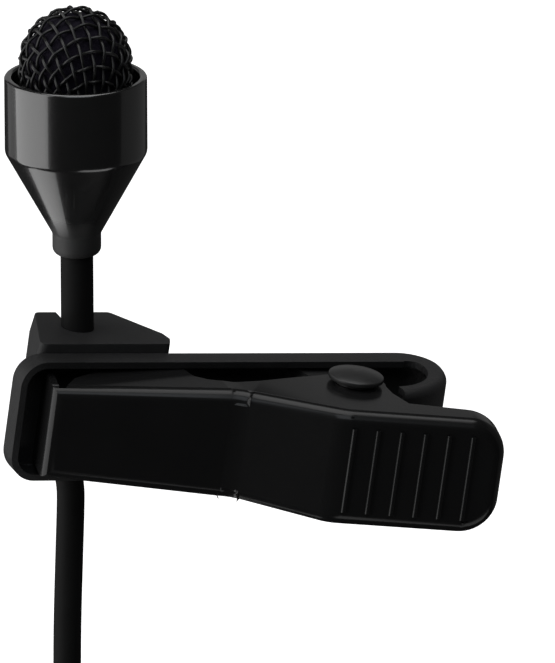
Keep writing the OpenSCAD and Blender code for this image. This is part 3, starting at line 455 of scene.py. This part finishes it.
def turned(name, corners, axis, node):
    """A closed body turned about a vertical axis, in place of a node."""
    mesh = bmesh.new()
    rings = []
    for r, z in rounded(corners):
        rings.append([
            mesh.verts.new(axis + Vector((r * math.cos(a), r * math.sin(a), z)) * MM)
            for a in (2 * math.pi * k / AROUND for k in range(AROUND))
        ])
    for ring, following in zip(rings, rings[1:] + rings[:1]):
        for k in range(AROUND):
            j = (k + 1) % AROUND
            mesh.faces.new((ring[k], following[k], following[j], ring[j]))
    bmesh.ops.recalc_face_normals(mesh, faces=mesh.faces)
    piece = added(name, shaded(mesh, name, node, CUP_SHARP_DEG))
    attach(piece, BODY_OF[node])
    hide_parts(node)


CUP_LOW = -CUP_H - CONE_H - NECK_H
turned("turned_cup", [
    (BORE_D / 2, SHELF_Z, 0), (BORE_D / 2, 0, LIP_INSIDE), (CUP_R, 0, LIP_OUTSIDE),
    (CUP_R, -CUP_H, SHOULDER), (NECK_D / 2, -CUP_H - CONE_H, CONE_FOOT),
    (NECK_D / 2, CUP_LOW, NECK_FOOT), (STEM_R, CUP_LOW, 0), (STEM_R, SHELF_Z, 0),
], cup_axis, "housing_cup")
print("cup turned, radius", round(CUP_R, 2), "mm")

# %% [markdown]
# ## The cup's paint
# The paint is glossy on the cup and turns matt above the neck. Two materials could meet there, but
# a value that fades with the height shows no line between them.

# %% Gloss that fades towards the neck
MATT_FROM, MATT_OVER = 1.6, 1.8  # it starts this far above the neck, and takes this height
MATT_EXTRA, CUP_PATCH = 0.45, 1.1  # how much rougher the matt paint is, and the patches' size
cup_tree = Tree(FINISHES["cup_paint"].node_tree)
cup_shader = cup_tree.tree.nodes["Principled BSDF"]
matt_top = cup_axis.z - (CUP_H + CONE_H - MATT_FROM) * MM
place = cup_tree.node("ShaderNodeTexCoord", out=OBJECT_OUT)
height = cup_tree.node("ShaderNodeSeparateXYZ", out=2, Vector=place)
matt = ((matt_top - height) / (MATT_OVER * MM)).max(0.0).min(1.0)
gloss = CUP_ROUGHNESS + MATT_EXTRA * matt + CUP_UNEVEN * grain(cup_tree, CUP_PATCH)
feed(gloss, cup_shader.inputs["Roughness"])
feed(1.0 - matt, cup_shader.inputs["Coat Weight"])
print("paint turns matt below", round(matt_top / MM, 1), "mm")

# %% [markdown]
# ## The woven dome
# A flat square weave is pressed over a ball and down a short skirt. Its wires could be drawn one
# by one, but they follow one rule, so Geometry Nodes makes them: it lays out one straight wire,
# copies it at the weave's pitch, and folds each point down. The point's distance from the middle
# becomes the way along the dome, and its direction stays. The second set is the first one turned
# by a quarter, with the waves the other way up. The sizes are those of the solid net.

# %% Woven dome
PITCH, WIRE_D, WIRE_GAP = 1.11, 0.24, 0.04
DOME_RISE, SKIRT_H = 1.0, 2.6  # the ball's middle over the cup's lip, and the skirt inside the cup
WIRE_POINTS, WIRE_SIDES = 121, 8
TINY = 1e-6  # keeps the middle of the net from dividing by zero
dome_low, dome_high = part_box("mesh_dome")
dome_axis = (Vector(dome_low) + Vector(dome_high)) / 2
dome_axis.z = cup_axis.z + DOME_RISE * MM
DOME_R = (dome_high[0] - dome_low[0]) / 2 - (WIRE_D + WIRE_GAP / 2) * MM
DOME_REACH = DOME_R * math.pi / 2 + (DOME_RISE + SKIRT_H) * MM


def woven_dome_nodes():
    """The node group that makes the dome, with its sizes as named inputs, in metres.

    Side is the number of wires on each side of the middle one.
    """
    group = bpy.data.node_groups.new("woven_dome", "GeometryNodeTree")
    group.interface.new_socket("Geometry", in_out="OUTPUT", socket_type="NodeSocketGeometry")
    for name in ("Pitch", "Radius", "Reach", "Wave", "Wire"):
        group.interface.new_socket(name, in_out="INPUT", socket_type="NodeSocketFloat")
    group.interface.new_socket("Side", in_out="INPUT", socket_type="NodeSocketInt")
    tree = Tree(group)
    given = group.nodes.new("NodeGroupInput")
    pitch, radius, reach, wave, wire, side = (Sock(group, given.outputs[k]) for k in range(6))
    straight = tree.node("GeometryNodeCurvePrimitiveLine")
    straight = tree.node("GeometryNodeResampleCurve", Curve=straight, Count=WIRE_POINTS)
    by_wire = {"domain": "SPLINE"}
    copies = tree.node(
        "GeometryNodeDuplicateElements", settings=by_wire, Geometry=straight, Amount=2 * side + 1
    )
    number = Sock(group, copies.socket.node.outputs[1]) - side
    across = number * pitch
    half = (reach * reach - across * across).sqrt()
    along = (tree.node("GeometryNodeSplineParameter") * 2 - 1) * half
    out = (along * along + across * across).sqrt().max(TINY)
    quarter = radius * (math.pi / 2)
    fold = out.min(quarter) / radius
    drop = (out - quarter).max(0.0)
    ripple = wave * (along / pitch * math.pi).cos() * (number * math.pi).cos()
    profile = tree.node("GeometryNodeCurvePrimitiveCircle", Resolution=WIRE_SIDES, Radius=wire / 2)
    sets = group.nodes.new("GeometryNodeJoinGeometry")
    for turn, sign in ((0, 1), (math.pi / 2, -1)):
        far = radius + sign * ripple
        place = tree.node(
            "ShaderNodeCombineXYZ",
            X=far * fold.sin() * along / out,
            Y=far * fold.sin() * across / out,
            Z=far * fold.cos() - drop,
        )
        bent = tree.node("GeometryNodeSetPosition", Geometry=copies, Position=place)
        tube = tree.node("GeometryNodeCurveToMesh", Curve=bent, in1=profile)
        tube = tree.node("GeometryNodeTransform", Geometry=tube, Rotation=(0, 0, turn))
        group.links.new(tube.socket, sets.inputs[0])
    smooth = tree.node("GeometryNodeSetShadeSmooth", Geometry=Sock(group, sets.outputs[0]))
    real = tree.node("GeometryNodeRealizeInstances", Geometry=smooth)
    coated = tree.node("GeometryNodeSetMaterial", Geometry=real, Material=FINISHES["mesh_paint"])
    group.links.new(coated.socket, group.nodes.new("NodeGroupOutput").inputs[0])
    return group


def made_by_nodes(name, group, **sizes):
    """An object whose mesh the node group makes from these inputs."""
    piece = added(name, bpy.data.meshes.new(name + "_start"))
    maker = piece.modifiers.new("maker", "NODES")
    maker.node_group = group
    for item in group.interface.items_tree:
        if item.in_out == "INPUT":
            maker[item.identifier] = sizes[item.name.lower()]
    view = bpy.context.evaluated_depsgraph_get()
    data = bpy.data.meshes.new_from_object(piece.evaluated_get(view))
    piece.modifiers.clear()
    piece.data = data
    return piece


dome = made_by_nodes(
    "woven_dome", woven_dome_nodes(), pitch=PITCH * MM, radius=DOME_R, reach=DOME_REACH,
    wave=(WIRE_D + WIRE_GAP) / 2 * MM, wire=WIRE_D * MM, side=int(DOME_REACH / (PITCH * MM)),
)
dome.data.transform(Matrix.Translation(dome_axis))
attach(dome, "rear")
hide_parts("mesh_dome")
print("woven dome:", len(dome.data.polygons), "faces")

# %% [markdown]
# ## Crisp copies of the pressed and moulded parts
# The jaws, the holder and the pin could be modelled again here, but a copy keeps the shape of the
# solid part. The frame's meshes are loose triangles, so a copy is merged and its flat faces are
# dissolved into single polygons. The holder and the pin get a narrow bevel that catches the light
# along each edge. The jaws' bends are round already, so they only get smooth shading.

# %% Dressed copies
SAME_PLACE = 2e-6  # corners nearer than this, in metres, are one
SAME_PLANE_DEG = 0.6
NORMAL_WEIGHT = 70  # over 50, large faces set the shading of the edges more


def merged(node):
    """A bmesh of a CAD node with its loose triangles joined."""
    mesh = bmesh.new()
    mesh.from_mesh(nodes[node].data)
    bmesh.ops.remove_doubles(mesh, verts=mesh.verts, dist=SAME_PLACE)
    return mesh


def dressed(node, edge_mm, edge_deg=50, segments=3):
    """A merged and smooth-shaded copy of a CAD node, in its place.

    Edges over edge_deg get a bevel of edge_mm, or stay sharp where that is 0.
    """
    mesh = merged(node)
    bmesh.ops.dissolve_limit(
        mesh, angle_limit=math.radians(SAME_PLANE_DEG), verts=mesh.verts, edges=mesh.edges
    )
    name = node + "_dressed"
    piece = added(name, shaded(mesh, name, node, None if edge_mm else edge_deg))
    if edge_mm:
        bevel = piece.modifiers.new("edge", "BEVEL")
        bevel.width = edge_mm * MM
        bevel.segments = segments
        bevel.limit_method = "ANGLE"
        bevel.angle_limit = math.radians(edge_deg)
        bevel.loop_slide = False
    weighted = piece.modifiers.new("normals", "WEIGHTED_NORMAL")
    weighted.keep_sharp = True
    weighted.weight = NORMAL_WEIGHT
    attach(piece, BODY_OF[node])
    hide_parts(node)


dressed("rear_jaw", 0, 35)
dressed("front_jaw", 0, 35)
dressed("cable_holder", 0.2, segments=4)
dressed("hinge_pin", 0.06)
print("dressed copies made")

# %% [markdown]
# ## The jaw spring
# The spring's front leg pushes on the front jaw and turns with it, while the coil and the rear
# leg stay with the rear jaw. The wire could bend from one to the other, but two rigid pieces look
# the same at rest and stay on their jaws. It is split where the front leg leaves the coil.

# %% Jaw spring in two pieces
jaw_hinge, = (j for j in frame["record"]["behaviour"]["joints"] if j["name"] == "jaw_hinge")
HINGE = Vector(jaw_hinge["pos_m"])
COIL_REACH = 2.0 * MM  # the coil stays within this distance of the pin's axis
SPRING_SHARP_DEG = 70
CLIP_BACK = Vector((
    math.sin(CLIP_PITCH) * math.sin(CLIP_ROLL),
    math.cos(CLIP_PITCH),
    math.sin(CLIP_PITCH) * math.cos(CLIP_ROLL),
))


def spring_piece(name, body, keep_leg):
    """The front leg of the spring's wire, or all but that leg, with its cut end closed."""
    mesh = merged("jaw_spring")
    other = []
    for face in mesh.faces:
        is_leg = min((v.co - HINGE).dot(CLIP_BACK) for v in face.verts) < -COIL_REACH
        if is_leg != keep_leg:
            other.append(face)
    bmesh.ops.delete(mesh, geom=other, context="FACES")
    bmesh.ops.holes_fill(mesh, edges=[e for e in mesh.edges if e.is_boundary], sides=0)
    bmesh.ops.recalc_face_normals(mesh, faces=mesh.faces)
    piece = added(name, shaded(mesh, name, "jaw_spring", SPRING_SHARP_DEG))
    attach(piece, body)
    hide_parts("jaw_spring")
    print(name, len(piece.data.polygons), "faces")


spring_piece("jaw_spring_coil", "rear", False)
spring_piece("jaw_spring_leg", "front", True)

# %% [markdown]
# ## What the lead carries
# The tie holds the coil together, and the plug hangs on the lead's far end. They stay the frame's
# own meshes.

# %% [markdown]
# ## Floor and light
# Black parts show only what they mirror, so they are lit by a few large soft boxes in a dim room.
# The box on the left draws the long grey stripe down the cup. The two overhead light the faces
# that look up and outline the upper bends of the clip, and the two below do that for its lower
# edges. A weak one on the right and two behind keep those sides from going black. The table could
# be lit too, but it glows by itself, so that it stays an even white. It neither lights the parts
# nor is mirrored in them.

# %% Studio
TABLE_SIZE, TABLE_GAP = 12, 0.003  # metres, and how far under the plug the table lies
WHITE = (1, 1, 1, 1)
ROOM_LIGHT = 0.02


def soft_box(name, azimuth, elevation, distance, width, height, radiance, colour=(1, 1, 1)):
    """A rectangular lamp that looks at the clip. Azimuth 0 is the front, 90 the right.

    An even lamp sends out pi times its radiance from each square metre.
    """
    a, e = math.radians(azimuth), math.radians(elevation)
    place = distance * Vector((math.sin(a) * math.cos(e), -math.cos(a) * math.cos(e), math.sin(e)))
    data = bpy.data.lights.new(name, "AREA")
    data.shape, data.size, data.size_y = "RECTANGLE", width, height
    data.energy = radiance * width * height * math.pi
    data.color = colour
    lamp = added(name, data)
    lamp.location = place
    lamp.rotation_mode = "QUATERNION"
    lamp.rotation_quaternion = (-place).to_track_quat("-Z", "Y")
    lamp.visible_camera = False


table_top, table_shader = finish("table_top", (0.8, 0.8, 0.8), 0.9)
table_shader.inputs["Emission Color"].default_value = WHITE
table_shader.inputs["Emission Strength"].default_value = 1.0
bpy.ops.mesh.primitive_plane_add(size=TABLE_SIZE, location=(0, 0, CAD_BOX[0][2] - TABLE_GAP))
floor = bpy.context.object
floor.name = "studio_floor"
floor.data.materials.append(table_top)
floor.visible_diffuse = False
floor.visible_glossy = False
floor.visible_shadow = False

world = bpy.data.worlds.new("studio")
bpy.context.scene.world = world
world.use_nodes = True
world.node_tree.nodes["Background"].inputs["Color"].default_value = WHITE
world.node_tree.nodes["Background"].inputs["Strength"].default_value = ROOM_LIGHT
soft_box("left_box", -99.3, 8, 0.6, 0.82, 1.2, 1.5)
soft_box("low_card", -135, -60, 0.5, 0.36, 0.25, 1.2)
soft_box("top_box", -15, 48, 0.6, 0.4, 0.35, 1.1, (0.9, 0.95, 1.0))
soft_box("top_soft", 150, 86, 0.6, 0.5, 0.5, 1.8)
soft_box("right_fill", 93, 0, 0.7, 1.0, 1.0, 0.06)
soft_box("front_low", 20, -50, 0.6, 0.5, 0.2, 0.9)
soft_box("back_left", -145, 5, 0.8, 0.5, 0.7, 0.22)
soft_box("back_low", 158.75, 12, 0.7, 0.7, 0.3, 0.2)
bpy.context.scene.view_settings.view_transform = "Standard"
print("lamps:", len(bpy.data.lights))
